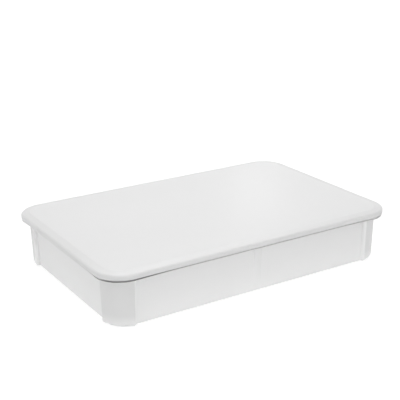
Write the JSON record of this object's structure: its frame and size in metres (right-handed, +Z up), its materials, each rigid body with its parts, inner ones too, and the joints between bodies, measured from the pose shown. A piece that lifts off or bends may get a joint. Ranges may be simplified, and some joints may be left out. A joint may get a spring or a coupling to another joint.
{
  "type": "dough proofing container",
  "caption": "White plastic dough proofing box, low and rectangular, with proud corner posts and a flat overhanging lid that lifts off.",
  "frame": {"origin": "centre of the closed container's footprint, on the plane that it stands on", "axes": "+X along the long side, +Y along the short side (the long wall nearer to the picture's camera faces -Y), +Z up out of the lid"},
  "size_m": [0.6, 0.4, 0.1027],
  "materials": {
    "box_plastic": "satin white food-grade plastic, moulded",
    "lid_plastic": "satin white food-grade plastic, moulded"
  },
  "bodies": {
    "box": {"box": "box_plastic"},
    "lid": {"lid": "lid_plastic"}
  },
  "joints": [
    {"name": "lid_lift", "type": "slide", "parent": "box", "child": "lid", "axis": [0, 0, 1], "range_m": [0, 0.15]}
  ]
}
